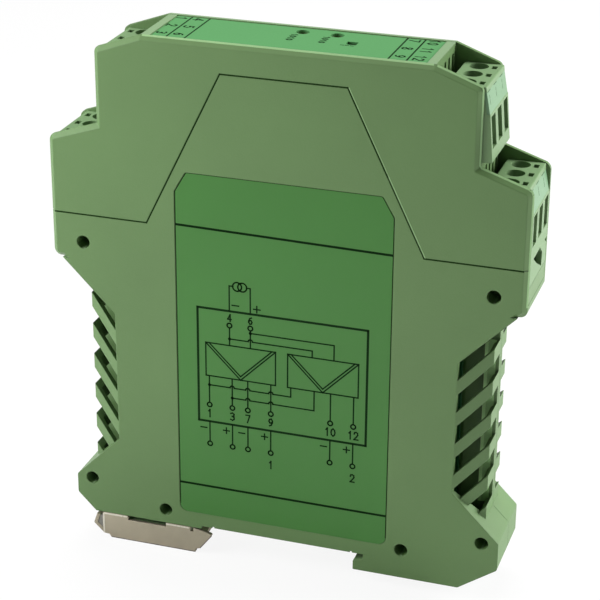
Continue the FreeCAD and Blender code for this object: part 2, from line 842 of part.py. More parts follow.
def foot_latch():
    """Folded strip: two cheeks, a base, a tip under the rail's flange and tabs round the guide."""
    ramp = latch_inner_end - 2.9
    cheek = [
        (latch_outer_end, latch_top_z, 0.4),
        (latch_outer_end, latch_bottom_z + 0.8, 0.2),
        (latch_outer_end + 1.5, latch_bottom_z + 0.7, 0.1),
        (latch_outer_end + 1.9, latch_bottom_z, 0.2),
        (ramp - 1.0, latch_bottom_z, 0.2),
        (ramp - 0.8, latch_bottom_z + 0.9, 0),
        (ramp, latch_bottom_z + 1.1, 0.3),
        (latch_inner_end, latch_tip_z - 0.35, 0.3),
        (latch_inner_end - 1.2, latch_tip_z + 0.05, 0.2),
        (latch_inner_end - 4.4, latch_top_z, 0.3),
    ]
    base_low = latch_bottom_z
    tab_x = spring_outer_end + spring_length
    solids = [
        side_prism(cheek, -half_width, -half_width + latch_sheet),
        side_prism(cheek, half_width - latch_sheet, half_width),
        block(latch_outer_end + 2.2, ramp - 1.2, -half_width, half_width, base_low, base_low + latch_sheet),
        block(tab_x, tab_x + latch_sheet, -1.2, 1.2, base_low, guide_head_top_z - 0.6),
        pull_tab(),
    ]
    folds = (latch_outer_end + 0.4, latch_inner_end - 10.6)
    for start in folds:
        for side in (-1, 1):
            y_low, y_high = sorted((side * half_width, side * (half_width - latch_fold)))
            solids.append(block(start, start + latch_fold_length, y_low, y_high,
                                latch_top_z - latch_sheet, latch_top_z))
    latch = fuse_all(solids)
    notches = [(folds[0] + latch_fold_length, folds[1]), (folds[1] + latch_fold_length, latch_inner_end - 4.3)]
    for x_low, x_high in notches:
        latch = latch.cut(block(x_low, x_high, -half_width - 1, half_width + 1, latch_top_z - latch_notch, 0))
    return latch


def pull_tab():
    """Outer end of the base, bent up and back, with a slot for a screwdriver blade."""
    end = latch_outer_end
    base = latch_bottom_z
    outline = [
        (end + 2.4, base, 0),
        (end - 0.9, base, 0.3),
        (end - 2.9, base + 1.9, 0.3),
        (end - 2.1, base + 4.3, 0),
        (end - 2.1 + latch_sheet, base + 4.1, 0),
        (end - 2.9 + latch_sheet * 1.1, base + 2.1, 0),
        (end - 0.7, base + latch_sheet, 0),
        (end + 2.4, base + latch_sheet, 0),
    ]
    tab = side_prism(outline, -pull_tab_half, pull_tab_half)
    return tab.cut(block(end - 4.0, end, -2.8, 2.8, base + 1.0, base + 1.8))


def latch_spring():
    """Compression spring between the guide's pocket and the latch's tab, wound in short straight runs."""
    z = (guide_bottom_z + guide_head_top_z) / 2
    path_radius = spring_radius - spring_wire / 2
    start = spring_outer_end + spring_wire
    coil_length = spring_length - 2 * spring_wire
    count = spring_turns * spring_runs
    points = []
    for i in range(count + 1):
        angle = 2 * math.pi * i / spring_runs
        x = start + coil_length * i / count
        points.append(Vec(x, path_radius * math.cos(angle), z + path_radius * math.sin(angle)))
    path = Part.makePolygon(points)
    along = (points[1] - points[0]).normalize()
    side = along.cross(Vec(1, 0, 0)).normalize() * (spring_wire / 2)
    up = along.cross(side).normalize() * (spring_wire / 2)
    corners = [side + up, side - up, side * -1 - up, side * -1 + up]
    section = Part.makePolygon([points[0] + corner for corner in corners + corners[:1]])
    wire = path.makePipeShell([section], True, False, 1)
    first = block(spring_outer_end, start, -spring_radius, spring_radius, z - spring_wire, z + spring_wire)
    last = block(start + coil_length, start + coil_length + spring_wire, -spring_radius, spring_radius,
                 z - spring_wire, z + spring_wire)
    return fuse_all([wire, first, last])


# Writing every piece to its own file

def write(name, shape):
    solids = shape if isinstance(shape, list) else [shape]
    solids = [solid for piece in solids for solid in piece.Solids]
    result = Part.Compound(solids) if len(solids) > 1 else solids[0]
    result.exportStep("parts/" + name + ".step")
    valid = all(solid.isValid() for solid in solids)
    print(name, "solids", len(solids), "volume", round(sum(s.Volume for s in solids), 1), "valid", valid)


os.makedirs("parts", exist_ok=True)

write("front_shell", front_shell())
write("rear_shell", rear_shell())
write("top_hood", top_hood())
write("top_label", top_label())
write("wiring_label", wiring_label())

levels = {
    "upper": (upper_screw_x, upper_block_top, upper_block_front, upper_block_bottom, board_high_half),
    "lower": (lower_screw_x, lower_block_top, lower_block_front, lower_block_bottom, board_low_half),
}
for level, (screw_x, top, front_x, bottom, board_half) in levels.items():
    inner_x = board_half - terminal_count * pin_stagger
    for end in ("right", "left"):
        place = mirrored if end == "left" else (lambda shape: shape)
        name = level + "_" + end
        if name == "upper_left":
            # This block is pushed fully home, so its front lies flush with the side plates
            screw_x -= upper_left_play
            front_x = upper_left_front
        write("terminal_block_" + name, place(terminal_body(screw_x, top, front_x, bottom)))
        write("marker_strip_" + name, place(marker_prism(screw_x, top, block_half - 0.1, strip_thick)))
        write("contact_pins_" + name, [place(pin) for pin in contact_pins(screw_x, top, inner_x)])
        for number, y in enumerate(terminal_ys, 1):
            write("screw_" + name + "_" + str(number), place(terminal_screw(screw_x, top, y)))
            write("clamp_" + name + "_" + str(number), place(clamp_cage(screw_x, top, y)))

write("main_board", main_board())
write("transformer_core", transformer_core())
write("transformer_winding", transformer_winding())
write("capacitors", capacitors())
write("chips", chips())
write("trimmer_bodies", trimmer_bodies())
for trimmer, x in trimmer_xs.items():
    write(trimmer + "_trimmer_screw", trimmer_screw_solid(x))
write("power_led", power_led())
write("foot_latch", foot_latch())
write("latch_spring", latch_spring())
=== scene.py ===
import math

import bmesh
import bpy
from mathutils import Matrix, Vector


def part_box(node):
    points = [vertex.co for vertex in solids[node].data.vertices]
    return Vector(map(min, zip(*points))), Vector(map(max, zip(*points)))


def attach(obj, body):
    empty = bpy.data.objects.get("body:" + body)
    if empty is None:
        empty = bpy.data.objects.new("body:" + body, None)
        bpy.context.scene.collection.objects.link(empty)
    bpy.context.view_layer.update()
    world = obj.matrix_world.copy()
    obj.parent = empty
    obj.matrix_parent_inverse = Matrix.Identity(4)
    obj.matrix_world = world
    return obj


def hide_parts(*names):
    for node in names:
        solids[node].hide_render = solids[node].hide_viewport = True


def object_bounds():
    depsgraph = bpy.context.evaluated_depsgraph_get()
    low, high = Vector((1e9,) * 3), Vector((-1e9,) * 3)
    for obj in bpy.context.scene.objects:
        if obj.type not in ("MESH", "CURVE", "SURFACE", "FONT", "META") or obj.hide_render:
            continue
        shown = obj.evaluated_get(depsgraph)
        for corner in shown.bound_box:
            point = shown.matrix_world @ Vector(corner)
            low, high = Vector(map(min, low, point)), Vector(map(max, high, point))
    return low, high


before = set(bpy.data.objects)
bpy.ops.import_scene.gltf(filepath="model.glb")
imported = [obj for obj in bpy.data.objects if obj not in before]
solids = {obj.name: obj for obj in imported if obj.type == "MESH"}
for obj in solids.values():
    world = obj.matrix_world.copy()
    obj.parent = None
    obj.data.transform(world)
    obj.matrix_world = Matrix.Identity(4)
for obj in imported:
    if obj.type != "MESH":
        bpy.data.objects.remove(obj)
bounds_at_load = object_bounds()

# Studio: a flat sheet of white paper under the part, a soft panel far to the right, a small one close on
# the left and one overhead, as for a catalogue picture of a small product. The lens is a long one.

scene = bpy.context.scene
scene.view_settings.view_transform = "Standard"

paper_gap = 0.00005
paper_height = bounds_at_load[0][2] - paper_gap
paper_reach = 1.5
paper_mesh = bpy.data.meshes.new("studio_sweep")
paper_mesh.from_pydata(
    [(-paper_reach, -paper_reach, paper_height), (paper_reach, -paper_reach, paper_height),
     (paper_reach, paper_reach, paper_height), (-paper_reach, paper_reach, paper_height)],
    [], [(0, 1, 2, 3)])
paper_sheet = bpy.data.objects.new("studio_sweep", paper_mesh)
scene.collection.objects.link(paper_sheet)


def seen_by_viewer(nodes):
    """1 where a ray comes straight from the lens, 0 elsewhere."""
    return nodes.new("ShaderNodeLightPath").outputs["Is Camera Ray"]


paper_white = 0.80
paper_glow_share = 0.90
paper = bpy.data.materials.new("sweep_paper")
paper.use_nodes = True
nodes, links = paper.node_tree.nodes, paper.node_tree.links
paper_surface = nodes["Principled BSDF"]
paper_surface.inputs["Base Color"].default_value = (paper_white, paper_white, paper_white, 1)
paper_surface.inputs["Roughness"].default_value = 0.9
paper_glow = nodes.new("ShaderNodeEmission")
paper_glow.inputs["Color"].default_value = (1, 1, 1, 1)
paper_glow.inputs["Strength"].default_value = 1.0
paper_share = nodes.new("ShaderNodeMath")
paper_share.operation = "MULTIPLY"
paper_share.inputs[1].default_value = paper_glow_share
paper_mix = nodes.new("ShaderNodeMixShader")
links.new(seen_by_viewer(nodes), paper_share.inputs[0])
links.new(paper_share.outputs[0], paper_mix.inputs[0])
links.new(paper_surface.outputs[0], paper_mix.inputs[1])
links.new(paper_glow.outputs[0], paper_mix.inputs[2])
links.new(paper_mix.outputs[0], nodes["Material Output"].inputs["Surface"])
paper_mesh.materials.append(paper)

air_strength = 0.12
world = bpy.data.worlds.new("studio_air")
scene.world = world
world.use_nodes = True
nodes, links = world.node_tree.nodes, world.node_tree.links
air_light = nodes["Background"]
air_light.inputs["Color"].default_value = (1.0, 1.0, 1.0, 1)
air_light.inputs["Strength"].default_value = air_strength
air_white = nodes.new("ShaderNodeBackground")
air_white.inputs["Color"].default_value = (1, 1, 1, 1)
air_white.inputs["Strength"].default_value = 1.0
air_mix = nodes.new("ShaderNodeMixShader")
links.new(seen_by_viewer(nodes), air_mix.inputs[0])
links.new(air_light.outputs[0], air_mix.inputs[1])
links.new(air_white.outputs[0], air_mix.inputs[2])
links.new(air_mix.outputs[0], nodes["World Output"].inputs["Surface"])

product_middle = Vector((0, 0, 0.05))


def light_panel(name, place, size, watts):
    """A square soft panel that faces the product."""
    lamp = bpy.data.lights.new(name, "AREA")
    lamp.shape = "SQUARE"
    lamp.size = size
    lamp.energy = watts
    panel = bpy.data.objects.new(name, lamp)
    scene.collection.objects.link(panel)
    panel.location = place
    facing = (product_middle - Vector(place)).normalized()
    panel.rotation_euler = facing.to_track_quat("-Z", "Y").to_euler()
    return panel


light_panel("right_panel", (0.62, 0.32, 0.36), 0.45, 8.7)
light_panel("left_panel", (-0.22, -0.12, 0.17), 0.16, 0.87)
light_panel("overhead_panel", (-0.10, 0.28, 0.85), 0.5, 6.4)

lens_turn = math.radians(17.926)
lens_rise = math.radians(23.888)
lens_roll = math.radians(0.452)
lens_distance = 0.401953
lens_target = Vector((0.000913, 0.0, 0.052005))
lens_back = Vector((math.sin(lens_turn) * math.cos(lens_rise), -math.cos(lens_turn) * math.cos(lens_rise),
                    math.sin(lens_rise)))
level_right = (-lens_back).cross(Vector((0, 0, 1))).normalized()
level_up = level_right.cross(-lens_back)
lens_right = level_right * math.cos(lens_roll) + level_up * math.sin(lens_roll)
lens_up = level_up * math.cos(lens_roll) - level_right * math.sin(lens_roll)
camera_data = bpy.data.cameras.new("catalogue_camera")
camera_data.lens = 117.92
camera_data.sensor_width = 36.0
camera_data.clip_start = 0.01
camera = bpy.data.objects.new("catalogue_camera", camera_data)
scene.collection.objects.link(camera)
lens_frame = Matrix((lens_right, lens_up, lens_back)).transposed().to_4x4()
camera.matrix_world = Matrix.Translation(lens_target + lens_back * lens_distance) @ lens_frame
scene.camera = camera

# Circuit board: glass-fibre laminate under green solder mask, soldered with a ferrite transformer, cans,
# chips, two adjusters and a small lamp. It lies between the half shells before they are pressed together.


def finish_group(name, colours, amounts):
    """Empty node group for a finish, with its inputs and with colour, roughness and normal to put out."""
    group = bpy.data.node_groups.new(name, "ShaderNodeTree")
    sockets = group.interface
    for title in colours:
        sockets.new_socket(title, in_out="INPUT", socket_type="NodeSocketColor")
    for title in amounts:
        sockets.new_socket(title, in_out="INPUT", socket_type="NodeSocketFloat")
    sockets.new_socket("Colour", in_out="OUTPUT", socket_type="NodeSocketColor")
    sockets.new_socket("Roughness", in_out="OUTPUT", socket_type="NodeSocketFloat")
    sockets.new_socket("Normal", in_out="OUTPUT", socket_type="NodeSocketVector")
    return group


def round_edges(nodes, links, radius, bump):
    """Rounds sharp edges in the shading, beneath the bump of the surface."""
    soft_edges = nodes.new("ShaderNodeBevel")
    soft_edges.samples = 4
    links.new(radius, soft_edges.inputs["Radius"])
    links.new(soft_edges.outputs[0], bump.inputs["Normal"])


def moulded_surface():
    """Faint flow clouds, a fine grain and painted light that makes level faces paler, for anything moulded or
    coated.
    """
    group = finish_group("moulded_surface", ("Colour",),
                         ("Clouds", "Grain", "Base Roughness", "Edge Radius", "Painted Top Light"))
    nodes, links = group.nodes, group.links
    entry, leave = nodes.new("NodeGroupInput"), nodes.new("NodeGroupOutput")
    place = nodes.new("ShaderNodeTexCoord")

    # Flow clouds make the colour a little lighter and darker
    clouds = nodes.new("ShaderNodeTexNoise")
    clouds.inputs["Scale"].default_value = 38.0
    clouds.inputs["Detail"].default_value = 4.0
    links.new(place.outputs["Object"], clouds.inputs["Vector"])
    centred = nodes.new("ShaderNodeMath")
    centred.operation = "SUBTRACT"
    centred.inputs[1].default_value = 0.5
    links.new(clouds.outputs["Fac"], centred.inputs[0])
    amount = nodes.new("ShaderNodeMath")
    amount.operation = "MULTIPLY_ADD"
    amount.inputs[2].default_value = 1.0
    links.new(centred.outputs[0], amount.inputs[0])
    links.new(entry.outputs["Clouds"], amount.inputs[1])
    shade = nodes.new("ShaderNodeVectorMath")
    shade.operation = "SCALE"
    links.new(entry.outputs["Colour"], shade.inputs[0])
    links.new(amount.outputs[0], shade.inputs["Scale"])

    # Level faces are painted paler, as painted light falling on them from above
    facing = nodes.new("ShaderNodeNewGeometry")
    parts = nodes.new("ShaderNodeSeparateXYZ")
    links.new(facing.outputs["True Normal"], parts.inputs[0])
    top_light_mask = nodes.new("ShaderNodeMath")
    top_light_mask.operation = "GREATER_THAN"
    top_light_mask.inputs[1].default_value = 0.98
    links.new(parts.outputs["Z"], top_light_mask.inputs[0])
    painted_top_light = nodes.new("ShaderNodeMath")
    painted_top_light.operation = "MULTIPLY"
    links.new(top_light_mask.outputs[0], painted_top_light.inputs[0])
    links.new(entry.outputs["Painted Top Light"], painted_top_light.inputs[1])
    top_lit_colour = nodes.new("ShaderNodeMix")
    top_lit_colour.data_type = "RGBA"
    top_lit_colour.inputs["B"].default_value = (0.22, 0.33, 0.19, 1)
    links.new(painted_top_light.outputs[0], top_lit_colour.inputs["Factor"])
    links.new(shade.outputs[0], top_lit_colour.inputs["A"])
    links.new(top_lit_colour.outputs["Result"], leave.inputs["Colour"])

    # Fine grain of the mould
    speckle = nodes.new("ShaderNodeTexNoise")
    speckle.inputs["Scale"].default_value = 2600.0
    speckle.inputs["Detail"].default_value = 2.0
    links.new(place.outputs["Object"], speckle.inputs["Vector"])
    rough = nodes.new("ShaderNodeMath")
    rough.operation = "MULTIPLY_ADD"
    rough.inputs[1].default_value = 0.16
    links.new(speckle.outputs["Fac"], rough.inputs[0])
    links.new(entry.outputs["Base Roughness"], rough.inputs[2])
    links.new(rough.outputs[0], leave.inputs["Roughness"])
    bump = nodes.new("ShaderNodeBump")
    bump.inputs["Distance"].default_value = 0.00006
    links.new(entry.outputs["Grain"], bump.inputs["Strength"])
    links.new(speckle.outputs["Fac"], bump.inputs["Height"])
    round_edges(nodes, links, entry.outputs["Edge Radius"], bump)
    links.new(bump.outputs[0], leave.inputs["Normal"])
    return group


def plated_surface():
    """Metal with dull patches and fine scratches."""
    group = finish_group("plated_surface", ("Bright", "Dull"),
                         ("Patch Size", "Base Roughness", "Edge Radius"))
    nodes, links = group.nodes, group.links
    entry, leave = nodes.new("NodeGroupInput"), nodes.new("NodeGroupOutput")
    place = nodes.new("ShaderNodeTexCoord")

    # Dull patches are also the rougher ones
    patches = nodes.new("ShaderNodeTexNoise")
    patches.inputs["Detail"].default_value = 5.0
    links.new(place.outputs["Object"], patches.inputs["Vector"])
    links.new(entry.outputs["Patch Size"], patches.inputs["Scale"])
    blend = nodes.new("ShaderNodeMix")
    blend.data_type = "RGBA"
    links.new(patches.outputs["Fac"], blend.inputs["Factor"])
    links.new(entry.outputs["Bright"], blend.inputs["A"])
    links.new(entry.outputs["Dull"], blend.inputs["B"])
    links.new(blend.outputs["Result"], leave.inputs["Colour"])
    rough = nodes.new("ShaderNodeMath")
    rough.operation = "MULTIPLY_ADD"
    rough.inputs[1].default_value = 0.30
    links.new(patches.outputs["Fac"], rough.inputs[0])
    links.new(entry.outputs["Base Roughness"], rough.inputs[2])
    links.new(rough.outputs[0], leave.inputs["Roughness"])

    # Scratches run along the strip or the wire
    stretch = nodes.new("ShaderNodeMapping")
    stretch.inputs["Scale"].default_value = (250.0, 6000.0, 6000.0)
    links.new(place.outputs["Object"], stretch.inputs["Vector"])
    scratches = nodes.new("ShaderNodeTexNoise")
    scratches.inputs["Scale"].default_value = 1.0
    links.new(stretch.outputs[0], scratches.inputs["Vector"])
    bump = nodes.new("ShaderNodeBump")
    bump.inputs["Strength"].default_value = 0.25
    bump.inputs["Distance"].default_value = 0.00004
    links.new(scratches.outputs["Fac"], bump.inputs["Height"])
    round_edges(nodes, links, entry.outputs["Edge Radius"], bump)
    links.new(bump.outputs[0], leave.inputs["Normal"])
    return group


moulded = moulded_surface()
plated = plated_surface()


def finished(name, group, settings):
    """Material whose colour, roughness and normal come from a finish group with these settings."""
    material = bpy.data.materials.new(name)
    material.use_nodes = True
    nodes, links = material.node_tree.nodes, material.node_tree.links
    surface = nodes["Principled BSDF"]
    finish = nodes.new("ShaderNodeGroup")
    finish.node_tree = group
    for title, value in settings.items():
        finish.inputs[title].default_value = value
    links.new(finish.outputs["Colour"], surface.inputs["Base Color"])
    links.new(finish.outputs["Roughness"], surface.inputs["Roughness"])
    links.new(finish.outputs["Normal"], surface.inputs["Normal"])
    return material


def moulded_material(name, colour, clouds=0.25, grain=0.5, roughness=0.42, specular=0.4, edge=0.0,
                     painted_top_light=0.0):
    """Moulded, coated or printed finish; the edge radius is in metres, and the last amount is painted light
    on level faces.
    """
    material = finished(name, moulded, {"Colour": (*colour, 1), "Clouds": clouds, "Grain": grain,
                                        "Base Roughness": roughness, "Edge Radius": edge,
                                        "Painted Top Light": painted_top_light})
    material.node_tree.nodes["Principled BSDF"].inputs["Specular IOR Level"].default_value = specular
    return material


def plated_material(name, bright, dull, patch_size, roughness, metallic=1.0, edge=0.0):
    """Plated or bare metal; the edge radius is in metres."""
    material = finished(name, plated, {"Bright": (*bright, 1), "Dull": (*dull, 1), "Patch Size": patch_size,
                                       "Base Roughness": roughness, "Edge Radius": edge})
    material.node_tree.nodes["Principled BSDF"].inputs["Metallic"].default_value = metallic
    return material


def dress(material, *names):
    """Gives CAD solids their finish."""
    for name in names:
        mesh = solids[name].data
        mesh.materials.clear()
        mesh.materials.append(material)


board_laminate = moulded_material("board_laminate", (0.020, 0.115, 0.045), clouds=0.5, grain=0.1,
                                  roughness=0.25, specular=0.5)
ferrite = moulded_material("ferrite", (0.030, 0.030, 0.033), clouds=0.4, grain=0.6, roughness=0.55)
copper_winding = plated_material("enamelled_copper", (0.62, 0.26, 0.10), (0.48, 0.18, 0.07), 1500.0, 0.25,
                                 metallic=0.7)
can_sleeve = moulded_material("capacitor_sleeve", (0.020, 0.024, 0.045), clouds=0.1, grain=0.0,
                              roughness=0.28)
chip_epoxy = moulded_material("chip_epoxy", (0.018, 0.018, 0.020), clouds=0.2, grain=0.5, roughness=0.5)
adjuster_case = moulded_material("adjuster_case", (0.020, 0.085, 0.30), clouds=0.1, grain=0.1,
                                 roughness=0.3)
adjuster_brass = plated_material("adjuster_brass", (0.70, 0.52, 0.22), (0.52, 0.38, 0.16), 1200.0, 0.25)
lamp_lens = moulded_material("lamp_lens", (0.012, 0.026, 0.016), clouds=0.1, grain=0.0, roughness=0.2,
                             specular=0.3)
dress(board_laminate, "main_board")
dress(ferrite, "transformer_core")
dress(copper_winding, "transformer_winding")
dress(can_sleeve, "capacitors")
dress(chip_epoxy, "chips")
dress(adjuster_case, "trimmer_bodies")
dress(adjuster_brass, "zero_trimmer_screw", "span_trimmer_screw")
dress(lamp_lens, "power_led")

# Half shells: injection moulded in sage green polyamide with a fine spark-eroded texture and pressed
# together on pegs. Their seam runs down the louvred waists and round both ends of the foot.

shell_green = (0.106, 0.197, 0.068)
# Level faces of the housing are made paler by painted light from above
housing_plastic = moulded_material("housing_polyamide", shell_green, clouds=0.22, grain=0.45, edge=0.0003,
                                   painted_top_light=0.6)
dress(housing_plastic, "front_shell", "rear_shell")

MM = 0.001


def add_piece(name, corners, faces, material, body):
    """A thin piece that rides on one of the part's bodies; corners are in millimetres."""
    mesh = bpy.data.meshes.new(name)
    mesh.from_pydata([(x * MM, y * MM, z * MM) for x, y, z in corners], [], faces)
    mesh.materials.append(material)
    piece = bpy.data.objects.new(name, mesh)
    scene.collection.objects.link(piece)
    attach(piece, body)
    return piece


def edge_band(path, y_near, y_far, sink, lift):
    """Corners and faces of a narrow band along a path in X and Z; its far side lies sink further in."""
    corners, faces = [], []
    for i, (x, z) in enumerate(path):
        before = path[max(i - 1, 0)]
        after = path[min(i + 1, len(path) - 1)]
        run = Vector((after[0] - before[0], after[1] - before[1])).normalized()
        out = Vector((run.y, -run.x))
        corners.append((x + out.x * lift, y_near, z + out.y * lift))
        corners.append((x + out.x * (lift - sink), y_far, z + out.y * (lift - sink)))
        if i:
            faces.append((2 * i - 2, 2 * i, 2 * i + 1, 2 * i - 1))
    return corners, faces


# Painted shade in the seam between the half shells: down the waist, over the slope and down the end of the
# foot
seam_y = 0.8
seam_width = 0.12
waist_end = 43.0
foot_end = 46.5
thin_shade = moulded_material("thin_seam_shade", (0.055, 0.105, 0.040), clouds=0.1, grain=0.0,
                              roughness=0.8, specular=0.0)
for side, word, foot_low in ((1, "right", 2.3), (-1, "left", 4.4)):
    seam_runs = (((waist_end, 50.5), (waist_end, 11.6)),
                 ((waist_end + 0.2, 11.15), (foot_end - 0.3, 8.15)),
                 ((foot_end, 7.4), (foot_end, foot_low)))
    for number, run in enumerate(seam_runs):
        path = [(side * x, z) for x, z in run]
        if side > 0:
            path = path[::-1]
        corners, faces = edge_band(path, seam_y - seam_width / 2, seam_y + seam_width / 2, 0.0, 0.012)
        add_piece("shell_seam_shade_" + word + "_" + str(number + 1), corners, faces, thin_shade,
                  "housing")

# Painted light on the side of the upright web behind the right-hand louvres, and a painted highlight on its
# rounded inner edge
web_inner_x = waist_end - 3.0
web_low, web_top = 12.6, 49.5
web_painted_light = moulded_material("louvre_web_painted_light", (0.38, 0.66, 0.27), clouds=0.1, grain=0.2)
web_painted_highlight = moulded_material("louvre_web_painted_highlight", (0.58, 0.90, 0.42), clouds=0.1, grain=0.2)
for name, width, web_y, plastic in (("louvre_web_side_painted_light", 2.3, -0.512, web_painted_light),
                                    ("louvre_web_painted_highlight", 0.7, -0.53, web_painted_highlight)):
    corners = [(web_inner_x, web_y, web_low), (web_inner_x + width, web_y, web_low),
               (web_inner_x + width, web_y, web_top), (web_inner_x, web_y, web_top)]
    add_piece(name, corners, [(0, 1, 2, 3)], plastic, "housing")

# Hood: the same green polyamide, moulded in one with the terminal chambers and the combs of air slots.
# It snaps over the half shells, and its walls end in a tongue between them on both faces.

dress(housing_plastic, "top_hood")
hood_low, hood_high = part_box("top_hood")

# Painted highlight along the narrow crest of the front wall, from the roof down over both steps at the right
roof_top = hood_high.z / MM
roof_half = 29.7
upper_end = 39.0
lower_end = hood_high.x / MM
crest_y, crest_depth = -7.75, 0.28
crest_path = [(-roof_half + 0.5, roof_top), (roof_half - 0.7, roof_top), (roof_half, roof_top - 0.06),
              (upper_end - 0.65, 104.06), (upper_end - 0.15, 103.7), (upper_end, 103.1),
              (upper_end, 88.35), (upper_end + 0.2, 88.05),
              (lower_end - 1.05, 84.95), (lower_end - 0.3, 84.4), (lower_end, 83.5), (lower_end, 60.6)]
painted_highlight_plastic = moulded_material("bright_crest_polyamide", (0.270, 0.455, 0.205), clouds=0.1, grain=0.2)
corners, faces = edge_band(crest_path[::-1], crest_y, crest_y - crest_depth, crest_depth, 0.02)
add_piece("front_wall_painted_highlight", corners, faces, painted_highlight_plastic, "housing")


def printed(name, strokes, width, origin, right, up, lift=0.015):
    """Flat strokes (in millimetres) laid on a plane, for ink and for painted shade and highlights along seams
    and edges.
    """
    right, up = Vector(right).normalized(), Vector(up).normalized()
    out = right.cross(up).normalized()
    origin = Vector(origin)
    mesh = bpy.data.meshes.new(name)
    shape = bmesh.new()
    for stroke in strokes:
        for (a0, b0), (a1, b1) in zip(stroke, stroke[1:]):
            run = Vector((a1 - a0, b1 - b0))
            if run.length < 1e-6:
                continue
            along = run.normalized() * (width / 2)
            across = Vector((-along.y, along.x))
            start, end = Vector((a0, b0)) - along, Vector((a1, b1)) + along
            corners = [start - across, end - across, end + across, start + across]
            low = [shape.verts.new(origin + (right * c.x + up * c.y) * MM) for c in corners]
            high = [shape.verts.new(origin + (right * c.x + up * c.y + out * lift) * MM) for c in corners]
            shape.faces.new(high)
            for i in range(4):
                shape.faces.new((low[i], low[(i + 1) % 4], high[(i + 1) % 4], high[i]))
    shape.to_mesh(mesh)
    shape.free()
    piece = bpy.data.objects.new(name, mesh)
    scene.collection.objects.link(piece)
    return piece


# Painted shade in the parting line between the hood and the half shells: it narrows towards the foot of the
# right-hand slope, where a painted highlight runs along the rim beside it
face_right, face_up = (1, 0, 0), (0, 0, 1)
shell_face = (0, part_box("front_shell")[0].y, 0)
parting_low, parting_top = 68.4, 101.2
tongue_half, tongue_foot = 12.9, 28.9
narrow_x, narrow_z = 21.1, 84.4
seam_film = 0.01
seam_shade = moulded_material("seam_shade", (0.014, 0.034, 0.010), clouds=0.1, grain=0.0, roughness=0.8,
                              specular=0.0)
open_line = [[(-48.9, parting_low), (-tongue_foot, parting_low), (-tongue_half, parting_top),
              (tongue_half, parting_top), (narrow_x, narrow_z)],
             [(tongue_foot, parting_low), (48.4, parting_low)]]
narrow_line = [[(narrow_x - 0.05, narrow_z), (tongue_foot - 0.05, parting_low)]]
lit_rim = [[(tongue_half + 0.24, parting_top), (narrow_x + 0.04, narrow_z + 0.4),
            (tongue_foot + 0.2, parting_low + 0.1)]]
for name, strokes, width, finish in (("parting_line_shade", open_line, 0.32, seam_shade),
                                     ("parting_line_thin_shade", narrow_line, 0.16, seam_shade),
                                     ("parting_line_painted_highlight", lit_rim, 0.17, painted_highlight_plastic)):
    piece = printed(name, strokes, width, shell_face, face_right, face_up, seam_film)
    piece.data.materials.append(finish)
    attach(piece, "housing")

# Painted shade in the fine seams round the end faces of the lower lobes
lobe_seam_low, lobe_seam_half = 60.95, 7.5
for side, word, end_x in ((1, "right", hood_high.x), (-1, "left", hood_low.x)):
    seam_far = (lobe_seam_half + 0.02) * side
    strokes = [[(-lobe_seam_half * side, lobe_seam_low), (lobe_seam_half * side, lobe_seam_low)],
               [(seam_far, lobe_seam_low), (seam_far, parting_low - 0.2)]]
    seam = printed("lobe_seam_shade_" + word, strokes, 0.14, (end_x, 0, 0), (0, side, 0), face_up, seam_film)
    seam.data.materials.append(thin_shade)
    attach(seam, "housing")

# Foot latch: one piece of zinc-plated steel strip, punched, folded round the guide under the foot and
# pushed home by a small coil spring of steel wire.

latch_plate = plated_material("latch_zinc_plate", (0.50, 0.445, 0.335), (0.36, 0.325, 0.25), 160.0, 0.30,
                              metallic=0.75, edge=0.0003)
spring_wire = plated_material("spring_wire", (0.42, 0.42, 0.42), (0.30, 0.30, 0.30), 900.0, 0.25)
dress(latch_plate, "foot_latch")
dress(spring_wire, "latch_spring")

latch_low, latch_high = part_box("foot_latch")
tab_length = 2.86
cheek_end = latch_low.x / MM + tab_length
cheek_foot = latch_low.z / MM
cheek_top = latch_high.z / MM
cheek_face = (0, latch_low.y, 0)

# Sides of the bent pull tab
tab_plate = plated_material("latch_fold_plate", (0.30, 0.29, 0.26), (0.20, 0.20, 0.18), 160.0, 0.35,
                            metallic=0.6)
tab_side_outer, tab_side_inner = 6.9, 6.4
tab_rim = ((-0.72, 0.7), (-2.15, 2.1), (-1.4, 4.05), (0.3, 4.05), (0.3, 0.7))
tab_outline = [(cheek_end + along, cheek_foot + up) for along, up in tab_rim]
sides = [(i, (i + 1) % 5, (i + 1) % 5 + 5, i + 5) for i in range(5)]
for side, word in ((-1, "front"), (1, "rear")):
    corners = [(x, side * tab_side_outer, z) for x, z in tab_outline]
    corners += [(x, side * tab_side_inner, z) for x, z in tab_outline]
    add_piece("pull_tab_side_" + word, corners, [(4, 3, 2, 1, 0), (5, 6, 7, 8, 9)] + sides, tab_plate,
              "foot_latch")

# Painted highlights along the fold and in short lengths along the upper edge of the front cheek, and painted
# shade along its lower edge
glint_metal = plated_material("painted_glint_zinc", (0.80, 0.77, 0.66), (0.62, 0.59, 0.50), 1400.0, 0.25,
                            metallic=0.6)
edge_shade_metal = plated_material("painted_edge_shade", (0.13, 0.12, 0.10), (0.09, 0.08, 0.07), 900.0, 0.4, metallic=0.5)
fold_x = cheek_end + 0.22
glint_z = cheek_top - 0.25
glint_lengths = ((0.5, 0.9), (1.7, 0.5), (2.5, 1.3), (4.1, 0.4), (5.0, 0.5),
                (14.9, 0.7), (15.9, 1.2), (17.5, 0.4), (18.3, 0.9), (19.6, 0.3))
glint_marks = [[(fold_x, cheek_top - 0.5), (fold_x, cheek_foot + 1.0)]]
for start, length in glint_lengths:
    glint_marks.append([(cheek_end + start, glint_z), (cheek_end + start + length, glint_z)])
